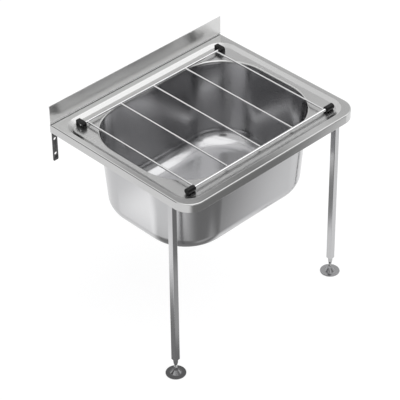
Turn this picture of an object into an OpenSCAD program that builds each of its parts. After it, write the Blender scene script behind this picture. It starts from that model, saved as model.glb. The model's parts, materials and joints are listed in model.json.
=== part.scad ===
// Utility sink with a folded steel worktop, a deep pressed bowl and a hinged bucket grate.
// It hangs on two wall brackets and stands on two front legs with screw feet.
// X runs to the right, Y to the wall and Z up. The floor is at zero, and so is the middle of the plan.

/* [Worktop] */
// Width of the sink from side to side
sink_w = 600; // [560:10:900]
// Depth of the sink from the wall to the front edge
sink_d = 500; // [480:10:700]
// Height of the rim above the floor
rim_h = 565; // [480:5:900]
// Thickness of the steel sheet
sheet_t = 1.2; // [0.8:0.1:1.5]
// Outer radius of the folds along the rim
fold_r = 3; // [3:0.1:5]
// Radius of the two front corners, seen from above
corner_r = 50; // [40:1:60]
// Height of the apron that is folded down from the rim
apron_h = 25; // [20:1:40]
// Height of the closed hems on the apron and the splashback
hem_h = 8; // [5:1:12]
// Height of the splashback above the rim
splash_h = 55; // [30:1:120]
// Inner radius of the bend at the foot of the splashback
cove_r = 3; // [1:0.5:6]

/* [Pressed recess] */
// Flat rim between each side and the recess
rim_side = 14; // [10:1:20]
// Flat rim between the wall and the recess
rim_rear = 20; // [16:1:40]
// Flat rim between the front edge and the recess
rim_front = 20; // [14:1:40]
// Outer corner radius of the recess
recess_r = 50; // [40:1:60]
// Depth of the recess below the rim
recess_depth = 6; // [4:0.5:8]
// Width of the sloping side of the recess
recess_run = 14; // [11:1:18]
// Inside radius of the bends of the pressing
press_r = 2; // [1:0.5:3]

/* [Bowl] */
// Ledge between the recess side and the bowl opening at each side
ledge_side = 15; // [12:0.5:40]
// Ledge between the recess side and the bowl opening at the rear
ledge_rear = 20.5; // [16:0.5:60]
// Ledge between the recess side and the bowl opening at the front
ledge_front = 27.5; // [26:0.5:60]
// Corner radius of the bowl opening
opening_r = 136; // [110:1:150]
// Radius of the rolled edge where the ledge turns down into the bowl
lip_r = 5; // [3:0.5:7]
// Depth of the turned down edge that the bowl is welded to
lip_h = 9; // [8:0.5:14]
// Depth of the bowl's underside below the rim
bowl_depth = 250; // [160:5:300]
// Draft of the bowl's walls from upright, in degrees
bowl_draft = 4.4; // [2:0.2:6]
// Inner radius between the bowl's walls and its bottom
bowl_fillet_r = 48; // [30:1:60]

/* [Waste] */
// Diameter of the pressed seat in the bowl's bottom
seat_d = 88; // [84:1:110]
// Depth of the pressed seat
seat_depth = 4; // [3:0.5:6]
// Diameter of the hole in the seat
waste_hole_d = 54; // [53:0.5:56]
// Diameter of the waste's flange
flange_d = 72; // [66:1:74]
// Thickness of the waste's pressed metal
flange_t = 1.5; // [1:0.1:1.8]
// Outer diameter of the neck under the flange
neck_d = 50; // [46:0.5:51]
// Height of the neck, from the flange's face to the underside of its strainer
neck_h = 9; // [6:0.5:12]
// Number of slots in the strainer
slot_count = 8; // [6:1:8]
// Width of a strainer slot
slot_w = 5; // [3:0.5:5]
// Length of a strainer slot
slot_l = 12; // [8:0.5:12]
// Thickness of the seal under the flange
top_seal_t = 1.5; // [1:0.1:2]
// Thickness of the seal under the bowl
low_seal_t = 3; // [2:0.5:5]
// Outer diameter of the cup under the bowl
cup_d = 76; // [72:1:84]
// Height of the cup, down to its tail
cup_h = 28; // [24:1:40]
// Wall of the cup and its tail
cup_wall = 3.4; // [2.5:0.1:4]
// Outer diameter of the tail that the trap fits on
tail_d = 47.8; // [40:0.1:50]
// Length of the tail below the cup
tail_l = 35; // [25:1:60]
// Diameter of the clamping screw
waste_screw_d = 6; // [5:0.5:8]
// Diameter of the boss that the clamping screw threads into
boss_d = 13; // [12:0.5:16]
// Number of ribs that carry the boss
rib_count = 3; // [3:1:4]
// Thickness of a rib in the cup
rib_t = 3; // [2:0.5:4]

/* [Wall brackets] */
// Width of a bracket strip
bracket_w = 16; // [14:1:30]
// Thickness of a bracket strip
bracket_t = 3; // [2:0.5:4]
// Reach of a bracket below the rim
bracket_drop = 114; // [100:1:160]
// Length of the bracket's foot under the rim
bracket_foot_l = 40; // [25:1:42]
// Inner radius of the bracket's bend
bracket_bend_r = 3; // [2:0.5:5]
// Diameter of the wall screw holes
wall_hole_d = 9; // [6:0.5:10]
// Distance between the two wall screw holes of a bracket
wall_hole_pitch = 45; // [30:1:60]
// Height of the lower hole above the bracket's end
wall_hole_rise = 21; // [12:1:25]

/* [Legs] */
// Width of the square leg tube
leg_w = 16; // [15:1:20]
// Wall of the leg tube
leg_wall = 1.5; // [1:0.1:2]
// Outer corner radius of the leg tube
leg_edge_r = 1.5; // [1:0.1:2]
// Distance from the front edge to the middle of a leg
leg_setback = 69; // [60:1:140]
// Height of the leg tube's end above the floor
leg_end_h = 48; // [46:1:80]
// Thickness of the plate that a leg is hung from
socket_plate_t = 2; // [1.5:0.5:3]
// Reach of that plate inward, past the leg
socket_reach = 20; // [18:1:40]
// Length of that plate, front to back
socket_l = 34; // [24:1:60]
// Length of the spigot inside the leg
spigot_l = 60; // [50:1:120]
// Diameter of the leg screw
leg_screw_d = 6; // [4:0.5:6]
// Drop of the leg screw below the socket plate
leg_screw_drop = 38; // [30:1:44]

/* [Feet] */
// Diameter of the foot
foot_d = 53.5; // [44:0.5:60]
// Thickness of the foot's flange
foot_flange_t = 3; // [2.6:0.2:4]
// Diameter of the foot's cone at its base
cone_d = 28; // [24:0.5:32]
// Height of the cone's top above the floor
cone_h = 19.5; // [17:0.5:24]
// Diameter of the cone's top
cone_top_d = 10.4; // [10:0.2:12]
// Diameter of the screw stem
stem_d = 8; // [7.5:0.1:8.5]
// Diameter of the stem's neck inside the foot
stem_neck_d = 6; // [5:0.1:6]
// Diameter of the riveted head under the foot
rivet_d = 10; // [9:0.2:11]
// Thickness of the riveted head
rivet_t = 1.4; // [1:0.1:1.5]
// Length of the stem above the foot
stem_l = 70; // [60:1:80]
// Length of the plug inside the leg tube
plug_l = 25; // [20:1:30]
// Thickness of the plug's collar under the tube's end
collar_t = 1.5; // [1:0.1:3]
// Height of the plug's taper nose
nose_h = 12; // [8:0.5:14]
// Diameter of the nose at its top
nose_d = 13.4; // [12:0.2:14]
// Diameter of the nose at its lower shoulder
nose_low_d = 11.2; // [10:0.2:12]
// Height of the chamfer under the nose
nose_tip_h = 4.5; // [2:0.5:5]
// Diameter of the nose at its end
nose_tip_d = 9; // [8.8:0.1:9.8]

/* [Grate] */
// Diameter of the sleeves that the grate rests on
sleeve_d = 16; // [14:0.5:20]
// Length of a sleeve
sleeve_l = 26; // [18:1:34]
// Closed end of a sleeve
sleeve_end_t = 3; // [2:0.5:5]
// Rounding of a sleeve's edges
sleeve_edge_r = 1.5; // [0.5:0.5:2]
// Diameter of the front rail
front_rail_d = 8; // [6:0.5:8]
// Diameter of the rear rail
rear_rail_d = 6; // [5.5:0.5:8]
// Diameter of the rear rail's ends, in the hinge blocks
journal_d = 5; // [4:0.5:5]
// Diameter of the bars
bar_d = 5; // [4:0.5:5]
// Distance from the recess side to the sleeves' ends
front_rail_inset = 15; // [13:1:40]
// Distance from the recess side to the outer bars
bar_inset = 44; // [43:1:70]
// Distance from the rear of the recess floor to the rear rail
rear_rail_setback = 25; // [24:1:40]
// Distance from the front of the recess floor to the front rail
front_rail_setback = 19; // [17:1:40]

/* [Hinge blocks] */
// Width of a hinge block
block_w = 12; // [10:1:14]
// Height of a hinge block above the recess floor
block_h = 16.5; // [15:0.5:22]
// Reach of a hinge block behind the rail
block_back = 17; // [15:0.5:19]
// Reach of a hinge block in front of the rail
block_front = 12; // [10:0.5:16]
// Radius of the block's nose
block_nose_r = 7; // [3:0.5:7]
// Radius of the block's other upper edge
block_edge_r = 2; // [1:0.5:3]
// Distance from the recess side to a block's outer face
block_inset = 22; // [20:1:40]
// Diameter of the screw that holds a block from below
block_screw_d = 4; // [3:0.5:5]
// Length of that screw inside the block
block_screw_l = 10; // [8:0.5:12]
// Distance from the block's rear face to its screw
block_screw_back = 6; // [5:0.5:7]
// Diameter of the peg that keeps a block from turning
peg_d = 4; // [3:0.5:4]
// Distance from the block's front face to its peg
peg_front = 4; // [3.5:0.5:5]

/* [Hidden] */
$fn = 96;

// How far a cut runs past the face it opens
cut_over = 1;
// Play between a shaft and the bore that it turns in, on the radius
run_play = 0.05;
// Play round a screw in a clearance hole, on the radius
screw_play = 0.2;
// Gap between a part at rest and what it comes down on
rest_gap = 0.3;
// Gap between a leg or a bracket and the hem beside it
side_gap = 0.1;
// Gap between the hem and a wall bracket
bracket_gap = 0.6;
// Axial play of a turning stem in its foot
stem_play = 0.1;
// Number of bars in the grate
bar_count = 5;
// Steps in a small bend of the pressing, and in the bowl's fillet
bend_steps = 5;
fillet_steps = 12;

steel = [0.80, 0.81, 0.82];
pressed_steel = [0.72, 0.73, 0.75];
black = [0.08, 0.08, 0.08];
grey = [0.45, 0.46, 0.47];

wall_y = sink_d / 2;
side_x = sink_w / 2;
hem_t = 2 * sheet_t;

// The recess floor is the path of the pressed slope
floor_w = sink_w - 2 * (rim_side + recess_run);
floor_d = sink_d - rim_rear - rim_front - 2 * recess_run;
floor_r = recess_r - recess_run;
floor_y = (rim_front - rim_rear) / 2;
floor_z = rim_h - recess_depth;
floor_rear_y = floor_y + floor_d / 2;
floor_front_y = floor_y - floor_d / 2;
floor_side_x = floor_w / 2;

// Slope of the pressed side between its two bends
press_sum = 2 * press_r + sheet_t;
press_angle = asin(press_sum / norm([recess_run, recess_depth - press_sum]))
    + atan2(recess_depth - press_sum, recess_run);

// The bowl opening, at the upright part of its rolled edge
opening_w = floor_w - 2 * ledge_side;
opening_d = floor_d - ledge_rear - ledge_front;
opening_y = floor_rear_y - ledge_rear - opening_d / 2;

// Bowl section: the wall leans in by the draft, then turns through the fillet to the bottom
bowl_top_z = floor_z - lip_h;
bowl_low_z = rim_h - bowl_depth;
fillet_out_r = bowl_fillet_r + sheet_t;
fillet_z = bowl_low_z + fillet_out_r;
fillet_u = -(bowl_top_z - fillet_z) * tan(bowl_draft) - bowl_fillet_r / cos(bowl_draft);

// Waste, from the seat's face downward
seat_z = bowl_low_z + sheet_t - seat_depth;
seat_floor_d = flange_d + 2 * sheet_t;
flange_z = seat_z + top_seal_t + flange_t;
strainer_z = flange_z - neck_h;
cup_z = seat_z - sheet_t - low_seal_t;
tail_z = cup_z - cup_h - tail_l;
screw_head_d = 2 * waste_screw_d;
screw_head_h = waste_screw_d * 0.6;
boss_h = cup_h * 0.4;
boss_z = cup_z - cup_h * 0.7;

// Wall brackets
bracket_x = side_x - hem_t - bracket_gap - bracket_w / 2;
bracket_top_z = rim_h - sheet_t;
bracket_end_z = rim_h - bracket_drop;
bracket_bend_out_r = bracket_bend_r + bracket_t;

// Legs
leg_x = side_x - hem_t - side_gap - leg_w / 2;
leg_y = leg_setback - wall_y;
leg_bore = leg_w - 2 * leg_wall;
socket_top_z = floor_z - sheet_t;
leg_top_z = socket_top_z - socket_plate_t;
leg_screw_z = leg_top_z - leg_screw_drop;
leg_screw_head_d = leg_screw_d * 1.75;
leg_screw_head_h = leg_screw_d * 0.55;
spigot_w = leg_bore - 2 * run_play;

// Feet
nose_top_z = leg_end_h - collar_t;
nose_low_z = nose_top_z - nose_h;
stem_low_z = cone_h + stem_play;
stem_top_z = stem_low_z + stem_l;
rivet_space_h = rivet_t + 2 * stem_play;

// Grate
rail_z = floor_z + sleeve_d / 2 + rest_gap;
rear_rail_y = floor_rear_y - rear_rail_setback;
front_rail_y = floor_front_y + front_rail_setback;
front_rail_l = 2 * (floor_side_x - front_rail_inset - sleeve_end_t);
block_x = floor_side_x - block_inset - block_w / 2;
bar_pitch = 2 * (floor_side_x - bar_inset) / (bar_count - 1);
rail_shoulder_l = 2 * (block_x - block_w / 2 - rest_gap);
screw_z = floor_z - sheet_t;
washer_t = block_screw_d * 0.25;
washer_d = block_screw_d * 2.5;

// Rounded rectangle with its middle at the origin
module round_plate(w, d, r) {
    square([w - 2 * r, d], center = true);
    square([w, d - 2 * r], center = true);
    for (sx = [-1, 1], sy = [-1, 1])
        translate([sx * (w / 2 - r), sy * (d / 2 - r)])
            circle(r);
}

// Points on an arc about a centre, from one angle to another
function arc(centre, r, from, to, steps) = [
    for (i = [0 : steps])
        let (a = from + (to - from) * i / steps)
            centre + r * [cos(a), sin(a)]
];

// Quarter of a flat ring, from the given angle on
module ring_quarter(r_out, r_in, from) {
    intersection() {
        difference() {
            circle(r_out);
            circle(r_in);
        }
        rotate([0, 0, from]) square(2 * r_out);
    }
}

// Carries a section, x outward from the path and y up, along a straight of a given length
module straight_run(length) {
    translate([0, length / 2, 0])
        rotate([90, 0, 0])
            linear_extrude(length)
                children();
}

// Carries a section round a quarter turn of a given path radius
module corner_run(r) {
    rotate_extrude(angle = 90)
        translate([r, 0])
            children();
}

// Carries a section all round a rounded rectangle
module loop_run(w, d, r) {
    for (turn = [0, 2])
        rotate([0, 0, 90 * turn]) {
            translate([w / 2, 0, 0]) straight_run(d - 2 * r) children();
            translate([w / 2 - r, d / 2 - r, 0]) corner_run(r) children();
        }
    for (turn = [1, 3])
        rotate([0, 0, 90 * turn]) {
            translate([d / 2, 0, 0]) straight_run(w - 2 * r) children();
            translate([d / 2 - r, w / 2 - r, 0]) corner_run(r) children();
        }
}

// Section of the fold and the apron, with a closed hem along its lower edge
module apron_section() {
    translate([0, -fold_r]) ring_quarter(fold_r, fold_r - sheet_t, 0);
    translate([fold_r - sheet_t, sheet_t - apron_h]) {
        square([sheet_t, apron_h - sheet_t - fold_r]);
        translate([-sheet_t, 0]) square([hem_t, hem_h - sheet_t]);
        circle(sheet_t);
    }
}

// Section of the pressed slope, from the recess floor up to the rim
module slope_section() {
    foot = [0, press_r - recess_depth];
    brow = [recess_run, -press_r - sheet_t];
    polygon(concat(
        arc(foot, press_r, -90, press_angle - 90, bend_steps),
        arc(brow, press_r + sheet_t, press_angle + 90, 90, bend_steps),
        arc(brow, press_r, 90, press_angle + 90, bend_steps),
        arc(foot, press_r + sheet_t, press_angle - 90, -90, bend_steps)
    ));
}

// Section of the rolled edge, turned down to the weld
module lip_section() {
    polygon(concat(
        arc([lip_r, -lip_r], lip_r, 90, 180, bend_steps),
        [[0, -lip_h], [sheet_t, -lip_h]],
        arc([lip_r, -lip_r], lip_r - sheet_t, 180, 90, bend_steps)
    ));
}

// Section of the splashback, with a closed hem along the back of its top edge
module splash_section() {
    bend_y = -sheet_t - cove_r - sheet_t;
    translate([bend_y, cove_r]) ring_quarter(cove_r + sheet_t, cove_r, -90);
    translate([-hem_t, cove_r]) square([sheet_t, splash_h - sheet_t - cove_r]);
    translate([-hem_t, splash_h - hem_h]) square([hem_t, hem_h - sheet_t]);
    translate([-sheet_t, splash_h - sheet_t]) circle(sheet_t);
}

// Flat part of the rim, square at the wall and rounded at the front
module rim_outline() {
    r = corner_r - fold_r;
    rear = wall_y - hem_t - cove_r;
    front = fold_r - wall_y;
    half = side_x - fold_r;
    translate([-half, front + r]) square([2 * half, rear - front - r]);
    translate([r - half, front]) square([2 * (half - r), 2 * r]);
    for (side = [-1, 1])
        translate([side * (half - r), front + r])
            circle(r);
}

module apron() {
    r = corner_r - fold_r;
    side_l = sink_d - corner_r;
    for (side = [0, 1])
        mirror([side, 0, 0]) {
            translate([side_x - fold_r, wall_y - side_l / 2, 0])
                straight_run(side_l) apron_section();
            translate([side_x - corner_r, corner_r - wall_y, 0])
                rotate([0, 0, -90])
                    corner_run(r) apron_section();
        }
    translate([0, fold_r - wall_y, 0])
        rotate([0, 0, -90])
            straight_run(sink_w - 2 * corner_r) apron_section();
}

module splashback() {
    translate([-side_x, wall_y, 0])
        rotate([90, 0, 90])
            linear_extrude(sink_w)
                splash_section();
    // Ground corner where the splashback, the rim fold and the apron meet
    for (side = [-1, 1])
        translate([side * (side_x - fold_r / 2), wall_y - hem_t + sheet_t / 3, (cove_r / 3 - fold_r) / 2])
            cube([fold_r, sheet_t * 4 / 3, cove_r / 3 + fold_r], center = true);
}

// Hole pattern of one hinge block, from its rail's axis
module hinge_holes(d_screw, d_peg, depth) {
    translate([0, block_back - block_screw_back, 0])
        cylinder(h = depth, d = d_screw);
    translate([0, peg_front - block_front, 0])
        cylinder(h = depth, d = d_peg);
}

module worktop() {
    color(steel)
        difference() {
            translate([0, 0, rim_h]) {
                translate([0, 0, -sheet_t])
                    linear_extrude(sheet_t)
                        difference() {
                            rim_outline();
                            translate([0, floor_y])
                                round_plate(floor_w + 2 * recess_run, floor_d + 2 * recess_run, recess_r);
                        }
                apron();
                splashback();
                translate([0, floor_y, 0])
                    loop_run(floor_w, floor_d, floor_r) slope_section();
                translate([0, 0, -recess_depth - sheet_t])
                    linear_extrude(sheet_t)
                        difference() {
                            translate([0, floor_y])
                                round_plate(floor_w, floor_d, floor_r);
                            translate([0, opening_y])
                                round_plate(opening_w + 2 * lip_r, opening_d + 2 * lip_r, opening_r + lip_r);
                        }
                translate([0, opening_y, -recess_depth])
                    loop_run(opening_w, opening_d, opening_r) lip_section();
            }
            for (side = [-1, 1])
                translate([side * block_x, rear_rail_y, floor_z - sheet_t - cut_over])
                    hinge_holes(block_screw_d + 2 * screw_play, peg_d + 2 * screw_play, sheet_t + 2 * cut_over);
        }
}

// Section of the bowl's wall, its fillet and the rim of its bottom, x outward from the opening's path
module bowl_section() {
    centre = [fillet_u, fillet_z];
    polygon(concat(
        [[0, bowl_top_z]],
        arc(centre, bowl_fillet_r, -bowl_draft, -90, fillet_steps),
        [[fillet_u - sheet_t, bowl_low_z + sheet_t], [fillet_u - sheet_t, bowl_low_z]],
        arc(centre, fillet_out_r, -90, -bowl_draft, fillet_steps),
        [[sheet_t / cos(bowl_draft), bowl_top_z]]
    ));
}

// Section of the pressed waste seat, from the bottom's underside
module seat_section() {
    hole_r = waste_hole_d / 2;
    low_r = seat_floor_d / 2;
    high_r = seat_d / 2;
    polygon([
        [hole_r, -seat_depth],
        [low_r, -seat_depth],
        [high_r, 0],
        [high_r, sheet_t],
        [low_r, sheet_t - seat_depth],
        [hole_r, sheet_t - seat_depth]
    ]);
}

module bowl() {
    color(pressed_steel)
        translate([0, opening_y, 0]) {
            loop_run(opening_w, opening_d, opening_r) bowl_section();
            translate([0, 0, bowl_low_z]) {
                linear_extrude(sheet_t)
                    difference() {
                        round_plate(opening_w + 2 * fillet_u, opening_d + 2 * fillet_u, opening_r + fillet_u);
                        circle(d = seat_d);
                    }
                rotate_extrude() seat_section();
            }
        }
}

module waste_flange() {
    color(steel)
        translate([0, opening_y, flange_z])
            difference() {
                rotate_extrude()
                    polygon([
                        [0, -neck_h],
                        [neck_d / 2, -neck_h],
                        [neck_d / 2, -flange_t],
                        [flange_d / 2, -flange_t],
                        [flange_d / 2 - flange_t, 0],
                        [neck_d / 2, -flange_t / 3],
                        [neck_d / 2 - flange_t, -flange_t],
                        [neck_d / 2 - flange_t, flange_t - neck_h],
                        [0, flange_t - neck_h]
                    ]);
                translate([0, 0, -neck_h - cut_over]) {
                    cylinder(h = flange_t + 2 * cut_over, d = waste_screw_d + 2 * screw_play);
                    for (i = [0 : slot_count - 1])
                        rotate([0, 0, 360 * i / slot_count])
                            translate([screw_head_d / 2 + slot_w / 4, -slot_w / 2, 0])
                                cube([slot_l, slot_w, flange_t + 2 * cut_over]);
                }
            }
}

module ring_seal(z, d_out, t) {
    color(black)
        translate([0, opening_y, z])
            difference() {
                cylinder(h = t, d = d_out);
                translate([0, 0, -cut_over]) cylinder(h = t + 2 * cut_over, d = waste_hole_d);
            }
}

module waste_top_seal() {
    ring_seal(seat_z, flange_d - flange_t, top_seal_t);
}

module waste_low_seal() {
    ring_seal(seat_z - sheet_t - low_seal_t, cup_d - cup_wall, low_seal_t);
}

module waste_body() {
    lip = cup_wall * 1.5;
    inner_r = waste_hole_d / 2 + cup_wall / 2;
    bore_r = tail_d / 2 - cup_wall;
    color(grey)
        translate([0, opening_y, 0]) {
            rotate_extrude()
                polygon([
                    [inner_r, cup_z],
                    [cup_d / 2, cup_z],
                    [cup_d / 2, cup_z - lip],
                    [inner_r + cup_wall, cup_z - 2 * lip],
                    [tail_d / 2, cup_z - cup_h],
                    [tail_d / 2, tail_z],
                    [bore_r, tail_z],
                    [bore_r, cup_z - cup_h],
                    [inner_r, cup_z - 2 * lip]
                ]);
            difference() {
                union() {
                    translate([0, 0, boss_z]) cylinder(h = boss_h, d = boss_d);
                    intersection() {
                        for (i = [0 : rib_count - 1])
                            rotate([0, 0, 360 * i / rib_count])
                                translate([0, -rib_t / 2, boss_z])
                                    cube([cup_d / 2, rib_t, boss_h * 0.8]);
                        translate([0, 0, cup_z - cup_h])
                            cylinder(
                                h = cup_h - 2 * lip,
                                r1 = bore_r + cup_wall / 2,
                                r2 = inner_r + cup_wall / 2
                            );
                    }
                }
                translate([0, 0, boss_z - cut_over])
                    cylinder(h = boss_h + 2 * cut_over, d = waste_screw_d + 2 * run_play);
            }
        }
}

module waste_screw() {
    top = strainer_z + flange_t;
    color(steel)
        translate([0, opening_y, 0]) {
            translate([0, 0, top]) cylinder(h = screw_head_h, d = screw_head_d);
            translate([0, 0, boss_z]) cylinder(h = top - boss_z, d = waste_screw_d);
        }
}

module wall_bracket(side) {
    color(grey)
        translate([side * bracket_x - bracket_w / 2, wall_y, bracket_top_z])
            difference() {
                rotate([90, 0, 90])
                    linear_extrude(bracket_w) {
                        translate([-bracket_bend_out_r, -bracket_bend_out_r])
                            ring_quarter(bracket_bend_out_r, bracket_bend_r, 0);
                        translate([-bracket_t, bracket_end_z - bracket_top_z])
                            square([bracket_t, bracket_top_z - bracket_end_z - bracket_bend_out_r]);
                        translate([-bracket_foot_l, -bracket_t])
                            square([bracket_foot_l - bracket_bend_out_r, bracket_t]);
                    }
                for (i = [0, 1])
                    translate([
                        bracket_w / 2,
                        cut_over,
                        bracket_end_z - bracket_top_z + wall_hole_rise + i * wall_hole_pitch
                    ])
                        rotate([90, 0, 0])
                            cylinder(h = bracket_t + 2 * cut_over, d = wall_hole_d);
            }
}

// The plate hangs the leg from the recess floor and the apron, and the spigot fills the leg's bore
module leg_socket(side) {
    inner = leg_x - leg_w / 2 - socket_reach;
    outer = side_x - sheet_t;
    color(grey)
        mirror([side < 0 ? 1 : 0, 0, 0])
            difference() {
                union() {
                    translate([inner, leg_y - socket_l / 2, leg_top_z])
                        cube([outer - inner, socket_l, socket_plate_t]);
                    translate([leg_x, leg_y, leg_top_z - spigot_l / 2])
                        cube([spigot_w, spigot_w, spigot_l], center = true);
                }
                translate([leg_x - leg_w, leg_y, leg_screw_z])
                    rotate([0, 90, 0])
                        cylinder(h = leg_w + leg_screw_d / 2, d = leg_screw_d + 2 * run_play);
            }
}

module leg_screws() {
    face_x = leg_x - leg_w / 2;
    color(steel)
        for (side = [0, 1])
            mirror([side, 0, 0])
                translate([face_x, leg_y, leg_screw_z])
                    rotate([0, 90, 0]) {
                        cylinder(h = leg_w / 2, d = leg_screw_d);
                        translate([0, 0, -leg_screw_head_h])
                            cylinder(h = leg_screw_head_h, d = leg_screw_head_d);
                    }
}

module leg(side) {
    color(steel)
        mirror([side < 0 ? 1 : 0, 0, 0])
            translate([leg_x, leg_y, 0])
                difference() {
                    translate([0, 0, leg_end_h])
                        linear_extrude(leg_top_z - leg_end_h)
                            difference() {
                                round_plate(leg_w, leg_w, leg_edge_r);
                                square(leg_bore, center = true);
                            }
                    translate([-leg_w, 0, leg_screw_z])
                        rotate([0, 90, 0])
                            cylinder(h = leg_w, d = leg_screw_d + 2 * screw_play);
                }
}

module leg_plug(side) {
    insert_w = leg_bore - 2 * run_play;
    color(steel)
        translate([side * leg_x, leg_y, 0])
            difference() {
                union() {
                    translate([0, 0, leg_end_h]) linear_extrude(plug_l) square(insert_w, center = true);
                    translate([0, 0, nose_top_z])
                        linear_extrude(collar_t)
                            round_plate(leg_w - leg_edge_r, leg_w - leg_edge_r, leg_edge_r);
                    translate([0, 0, nose_low_z])
                        cylinder(h = nose_h, d1 = nose_low_d, d2 = nose_d);
                    translate([0, 0, nose_low_z - nose_tip_h])
                        cylinder(h = nose_tip_h, d1 = nose_tip_d, d2 = nose_low_d);
                }
                translate([0, 0, nose_low_z - nose_tip_h - cut_over])
                    cylinder(h = plug_l + leg_end_h, d = stem_d + 2 * run_play);
            }
}

module foot_stem(side) {
    color(steel)
        translate([side * leg_x, leg_y, 0]) {
            translate([0, 0, stem_low_z]) cylinder(h = stem_l, d = stem_d);
            translate([0, 0, stem_play]) cylinder(h = stem_low_z - stem_play, d = stem_neck_d);
            translate([0, 0, stem_play]) cylinder(h = rivet_t, d = rivet_d);
        }
}

module foot(side) {
    edge = foot_flange_t / 2;
    knee_z = cone_h - (cone_h - foot_flange_t) * 0.4;
    knee_r = cone_top_d / 2 + (cone_d - cone_top_d) * 0.13;
    color(pressed_steel)
        translate([side * leg_x, leg_y, 0])
            difference() {
                rotate_extrude() {
                    translate([foot_d / 2 - edge, edge]) circle(edge);
                    polygon([
                        [0, 0],
                        [foot_d / 2 - edge, 0],
                        [foot_d / 2 - edge, foot_flange_t],
                        [cone_d / 2, foot_flange_t],
                        [knee_r, knee_z],
                        [cone_top_d / 2, cone_h],
                        [0, cone_h]
                    ]);
                }
                translate([0, 0, -cut_over])
                    cylinder(h = cone_h + 2 * cut_over, d = stem_neck_d + 2 * run_play);
                translate([0, 0, -cut_over])
                    cylinder(h = rivet_space_h + cut_over, d = rivet_d + 2 * screw_play);
            }
}

module hinge_block(side) {
    nose_y = block_nose_r - block_front;
    edge_y = block_back - block_edge_r;
    color(black)
        translate([side * block_x, rear_rail_y, 0]) {
            difference() {
                translate([-block_w / 2, 0, floor_z])
                    rotate([90, 0, 90])
                        linear_extrude(block_w) {
                            translate([-block_front, 0])
                                square([block_front + block_back, block_h - block_nose_r]);
                            translate([nose_y, 0])
                                square([edge_y - nose_y, block_h]);
                            translate([edge_y, 0])
                                square([block_edge_r, block_h - block_edge_r]);
                            translate([nose_y, block_h - block_nose_r]) circle(block_nose_r);
                            translate([edge_y, block_h - block_edge_r]) circle(block_edge_r);
                        }
                translate([-block_w, 0, rail_z])
                    rotate([0, 90, 0])
                        cylinder(h = 2 * block_w, d = journal_d + 2 * run_play);
                translate([0, block_back - block_screw_back, floor_z - cut_over])
                    cylinder(h = block_screw_l + 2 * cut_over, d = block_screw_d + 2 * run_play);
            }
            translate([0, peg_front - block_front, floor_z - sheet_t])
                cylinder(h = 2 * sheet_t, d = peg_d);
        }
}

module hinge_screws() {
    color(steel)
        for (side = [-1, 1])
            translate([side * block_x, rear_rail_y + block_back - block_screw_back, screw_z - washer_t]) {
                cylinder(h = washer_t + sheet_t + block_screw_l, d = block_screw_d);
                translate([0, 0, -block_screw_d * 0.7])
                    cylinder(h = block_screw_d * 0.7, d = block_screw_d * 2);
            }
}

module hinge_washers() {
    color(steel)
        for (side = [-1, 1])
            translate([side * block_x, rear_rail_y + block_back - block_screw_back, screw_z - washer_t])
                difference() {
                    cylinder(h = washer_t, d = washer_d);
                    translate([0, 0, -cut_over])
                        cylinder(h = washer_t + 2 * cut_over, d = block_screw_d + 2 * screw_play);
                }
}

// Round bar along X with its middle at the origin
module rod_x(length, d) {
    rotate([0, 90, 0]) cylinder(h = length, d = d, center = true);
}

module grate_rear_rail() {
    color(steel)
        translate([0, rear_rail_y, rail_z]) {
            rod_x(rail_shoulder_l, rear_rail_d);
            rod_x(2 * block_x + block_w, journal_d);
        }
}

module grate_front_rail() {
    color(steel)
        translate([0, front_rail_y, rail_z])
            rod_x(front_rail_l, front_rail_d);
}

// Each bar's ends are cut to the round of the rails that they are welded to
module grate_bar(i) {
    x = (i - (bar_count - 1) / 2) * bar_pitch;
    color(steel)
        difference() {
            translate([x, rear_rail_y, rail_z])
                rotate([90, 0, 0])
                    cylinder(h = rear_rail_y - front_rail_y, d = bar_d);
            translate([x, rear_rail_y, rail_z]) rod_x(2 * bar_d, rear_rail_d);
            translate([x, front_rail_y, rail_z]) rod_x(2 * bar_d, front_rail_d);
        }
}

module sleeve(side) {
    r = sleeve_d / 2;
    bore_r = front_rail_d / 2 + run_play;
    end_x = floor_side_x - front_rail_inset;
    color(black)
        translate([side * end_x, front_rail_y, rail_z])
            rotate([0, -side * 90, 0])
                rotate_extrude()
                    difference() {
                        union() {
                            translate([0, sleeve_edge_r]) square([r, sleeve_l - 2 * sleeve_edge_r]);
                            square([r - sleeve_edge_r, sleeve_l]);
                            for (z = [sleeve_edge_r, sleeve_l - sleeve_edge_r])
                                translate([r - sleeve_edge_r, z]) circle(sleeve_edge_r);
                        }
                        translate([0, sleeve_end_t]) square([bore_r, sleeve_l]);
                    }
}

worktop();
bowl();
waste_flange();
waste_top_seal();
waste_low_seal();
waste_body();
waste_screw();
wall_bracket(-1);  // wall_bracket_left
wall_bracket(1);  // wall_bracket_right
leg_socket(-1);  // leg_socket_left
leg_socket(1);  // leg_socket_right
leg_screws();
leg(-1);  // leg_left
leg(1);  // leg_right
leg_plug(-1);  // leg_plug_left
leg_plug(1);  // leg_plug_right
foot_stem(-1);  // foot_stem_left
foot_stem(1);  // foot_stem_right
foot(-1);  // foot_left
foot(1);  // foot_right
hinge_block(-1);  // hinge_block_left
hinge_block(1);  // hinge_block_right
hinge_screws();
hinge_washers();
grate_rear_rail();
grate_front_rail();
grate_bar(0);  // grate_bar_1
grate_bar(1);  // grate_bar_2
grate_bar(2);  // grate_bar_3
grate_bar(3);  // grate_bar_4
grate_bar(4);  // grate_bar_5
sleeve(-1);  // sleeve_left
sleeve(1);  // sleeve_right
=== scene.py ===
import json
import math

import bmesh
import bpy
from mathutils import Matrix, Quaternion, Vector

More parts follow.
